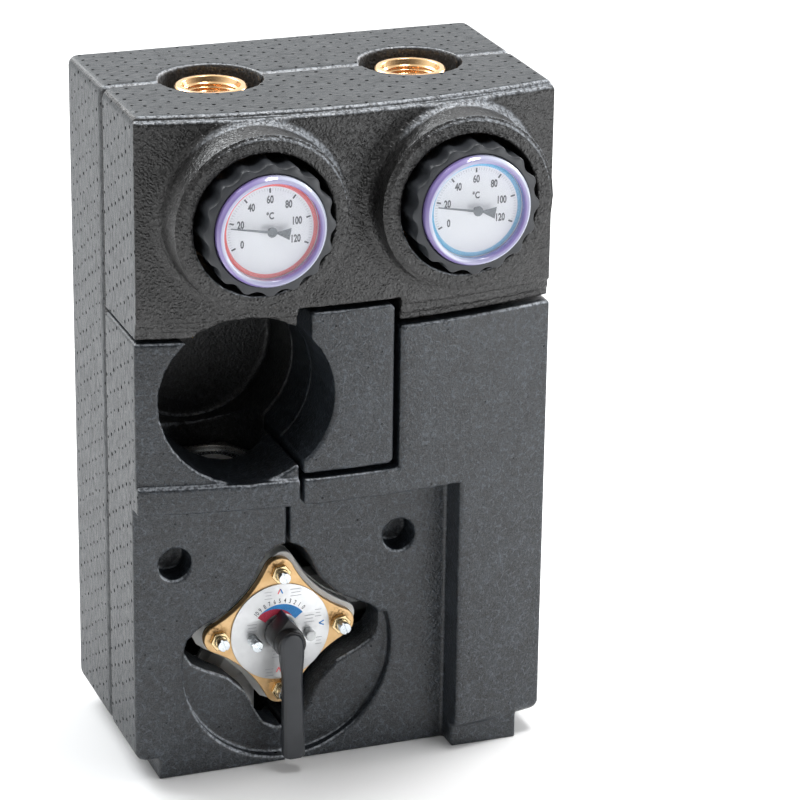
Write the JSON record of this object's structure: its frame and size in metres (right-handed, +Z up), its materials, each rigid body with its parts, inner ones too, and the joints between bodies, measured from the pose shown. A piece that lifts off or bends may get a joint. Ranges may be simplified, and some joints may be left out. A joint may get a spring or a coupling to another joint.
{
  "type": "mixed heating circuit pump group",
  "caption": "Two-line heating circuit group in foam shells with thermometer ball valves, an empty pump bay, a check valve and a lever mixing valve.",
  "frame": {"origin": "centre of the bounding box in plan, at the underside of the foot", "axes": "+Z up along the two lines, -Y the front with the dials, +X to the right seen from the front"},
  "size_m": [0.248, 0.186, 0.408],
  "materials": {
    "foam": "matte",
    "brass": "satin",
    "chrome": "polished",
    "zinc_steel": "satin",
    "painted_casting": "satin",
    "dark_plastic": "satin",
    "seal_rubber": "matte",
    "ptfe": "satin",
    "dial_white": "satin",
    "bezel": "gloss",
    "clear_pane": "polished",
    "needle_grey": "satin",
    "label_silver": "satin"
  },
  "bodies": {
    "housing_back": {"back_shell": "foam", "wall_bracket": "zinc_steel", "flow_valve_body": "brass", "flow_valve_socket": "brass", "flow_seat_upper": "ptfe", "flow_seat_lower": "ptfe", "flow_stem_seal": "seal_rubber", "flow_stem_gland": "brass", "return_valve_body": "brass", "return_valve_socket": "brass", "return_seat_upper": "ptfe", "return_seat_lower": "ptfe", "return_stem_seal": "seal_rubber", "return_stem_gland": "brass", "check_valve_body": "brass", "check_valve_guide": "dark_plastic", "check_valve_spring": "zinc_steel", "return_pipe": "zinc_steel", "return_tee": "brass", "bypass_pipe": "zinc_steel", "mixer_body": "painted_casting", "mixer_gasket": "seal_rubber", "mixer_cover_plate": "brass", "mixer_scale_disc": "label_silver", "cover_screw_1": "zinc_steel", "cover_screw_2": "zinc_steel", "cover_screw_3": "zinc_steel", "cover_screw_4": "zinc_steel", "lever_stop_screw": "zinc_steel", "lever_stop_pin": "ptfe", "mixer_shaft_seal": "seal_rubber"},
    "upper_front": {"upper_front_shell": "foam"},
    "lower_left": {"lower_front_shell_left": "foam"},
    "lower_right": {"lower_front_shell_right": "foam"},
    "insert": {"pump_bay_insert": "foam"},
    "flow_handle": {"flow_handwheel": "dark_plastic", "flow_stem": "brass", "flow_ball": "chrome", "flow_thermometer_case": "dark_plastic", "flow_thermometer_probe": "brass", "flow_dial": "dial_white", "flow_bezel": "bezel", "flow_glass": "clear_pane"},
    "flow_needle": {"flow_pointer": "needle_grey"},
    "return_handle": {"return_handwheel": "dark_plastic", "return_stem": "brass", "return_ball": "chrome", "return_thermometer_case": "dark_plastic", "return_thermometer_probe": "brass", "return_dial": "dial_white", "return_bezel": "bezel", "return_glass": "clear_pane"},
    "return_needle": {"return_pointer": "needle_grey"},
    "mixer_shutter": {"mixer_rotor": "brass", "mixer_lever": "dark_plastic"},
    "upper_nut": {"pump_nut_upper": "brass"},
    "lower_nut": {"pump_nut_lower": "brass"},
    "check_poppet": {"check_valve_poppet": "dark_plastic"}
  },
  "joints": [
    {"name": "upper_front_pull", "type": "slide", "parent": "housing_back", "child": "upper_front", "axis": [0, -1, 0], "range_m": [0, 0.12]},
    {"name": "lower_left_pull", "type": "slide", "parent": "housing_back", "child": "lower_left", "axis": [0, -1, 0], "range_m": [0, 0.0135]},
    {"name": "lower_right_pull", "type": "slide", "parent": "housing_back", "child": "lower_right", "axis": [0, -1, 0], "range_m": [0, 0.0135]},
    {"name": "insert_pull", "type": "slide", "parent": "lower_right", "child": "insert", "axis": [0, -1, 0], "range_m": [0, 0.06]},
    {"name": "flow_valve_turn", "type": "hinge", "parent": "housing_back", "child": "flow_handle", "pos_m": [-0.06, 0.019, 0.351], "axis": [0, 1, 0], "range_deg": [0, 90]},
    {"name": "flow_temperature", "type": "hinge", "parent": "flow_handle", "child": "flow_needle", "pos_m": [-0.06, 0.019, 0.351], "axis": [0, 1, 0], "range_deg": [-33.5, 192.7]},
    {"name": "return_valve_turn", "type": "hinge", "parent": "housing_back", "child": "return_handle", "pos_m": [0.06, 0.019, 0.351], "axis": [0, 1, 0], "range_deg": [0, 90]},
    {"name": "return_temperature", "type": "hinge", "parent": "return_handle", "child": "return_needle", "pos_m": [0.06, 0.019, 0.351], "axis": [0, 1, 0], "range_deg": [-33.5, 192.7]},
    {"name": "mixer_turn", "type": "hinge", "parent": "housing_back", "child": "mixer_shutter", "pos_m": [-0.0325, 0, 0.0795], "axis": [0, 1, 0], "range_deg": [-45, 45]},
    {"name": "upper_nut_turn", "type": "hinge", "parent": "housing_back", "child": "upper_nut", "pos_m": [-0.06, 0.019, 0.3], "axis": [0, 0, 1], "continuous": true},
    {"name": "lower_nut_turn", "type": "hinge", "parent": "housing_back", "child": "lower_nut", "pos_m": [-0.06, 0.019, 0.164], "axis": [0, 0, 1], "continuous": true},
    {"name": "check_valve_lift", "type": "slide", "parent": "housing_back", "child": "check_poppet", "axis": [0, 0, -1], "range_m": [0, 0.008], "stiffness_N_per_m": 50, "springref_m": -0.01, "deforming": ["check_valve_spring"]}
  ]
}
